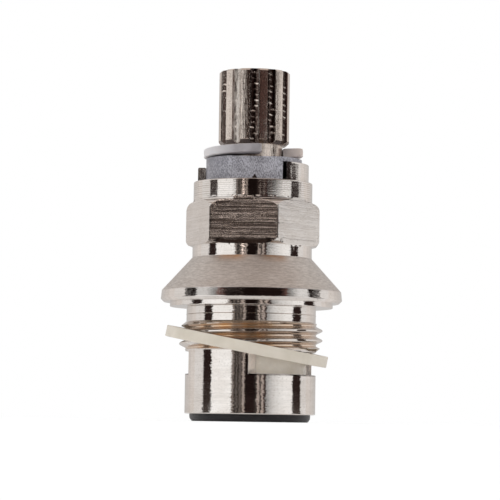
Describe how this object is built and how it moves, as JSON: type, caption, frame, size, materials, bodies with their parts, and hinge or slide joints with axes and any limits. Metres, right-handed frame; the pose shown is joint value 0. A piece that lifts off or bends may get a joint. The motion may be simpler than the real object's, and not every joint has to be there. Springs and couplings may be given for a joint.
{
  "type": "ceramic disc tap cartridge",
  "caption": "Quarter-turn ceramic disc tap cartridge: threaded, flanged hexagon body with side windows, toothed stem, stop ring, clip, loose washer and rubber base seal.",
  "frame": {"origin": "centre of the base seal's lower face, on the spindle axis", "axes": "+Z along the spindle towards the handle teeth, -Y towards the front of the picture, +X to its right"},
  "size_m": [0.0336, 0.0336, 0.0648],
  "materials": {
    "body": "nickel plated, turned",
    "spindle": "nickel plated, turned",
    "stop_ring": "satin grey",
    "clip": "satin natural nylon",
    "thrust_washer": "satin white",
    "o_ring": "greased rubber",
    "ceramic": "lapped",
    "base_seal": "moulded rubber",
    "support_ring": "turned",
    "flange_washer": "satin ivory"
  },
  "bodies": {
    "housing": {"body": "body", "thrust_washer": "thrust_washer", "fixed_disc": "ceramic", "base_seal": "base_seal", "seal_support_ring": "support_ring"},
    "stem": {"spindle": "spindle", "stop_ring": "stop_ring", "retaining_clip": "clip", "spindle_o_ring_upper": "o_ring", "spindle_o_ring_lower": "o_ring"},
    "upper_disc": {"moving_disc": "ceramic"},
    "loose_washer": {"flange_washer": "flange_washer"}
  },
  "joints": [
    {"name": "spindle_turn", "type": "hinge", "parent": "housing", "child": "stem", "pos_m": [0, 0, 0.03], "axis": [0, 0, 1], "range_deg": [-87.5, 2.5]},
    {"name": "disc_turn", "type": "hinge", "parent": "housing", "child": "upper_disc", "pos_m": [0, 0, 0.0105], "axis": [0, 0, 1], "range_deg": [-87.5, 2.5]},
    {"name": "washer_slide", "type": "slide", "parent": "housing", "child": "loose_washer", "axis": [0, 0, 1], "range_m": [-0.0099, 0]}
  ],
  "couplings": [
    {"joint": "disc_turn", "follows": "spindle_turn", "ratio": 1}
  ]
}
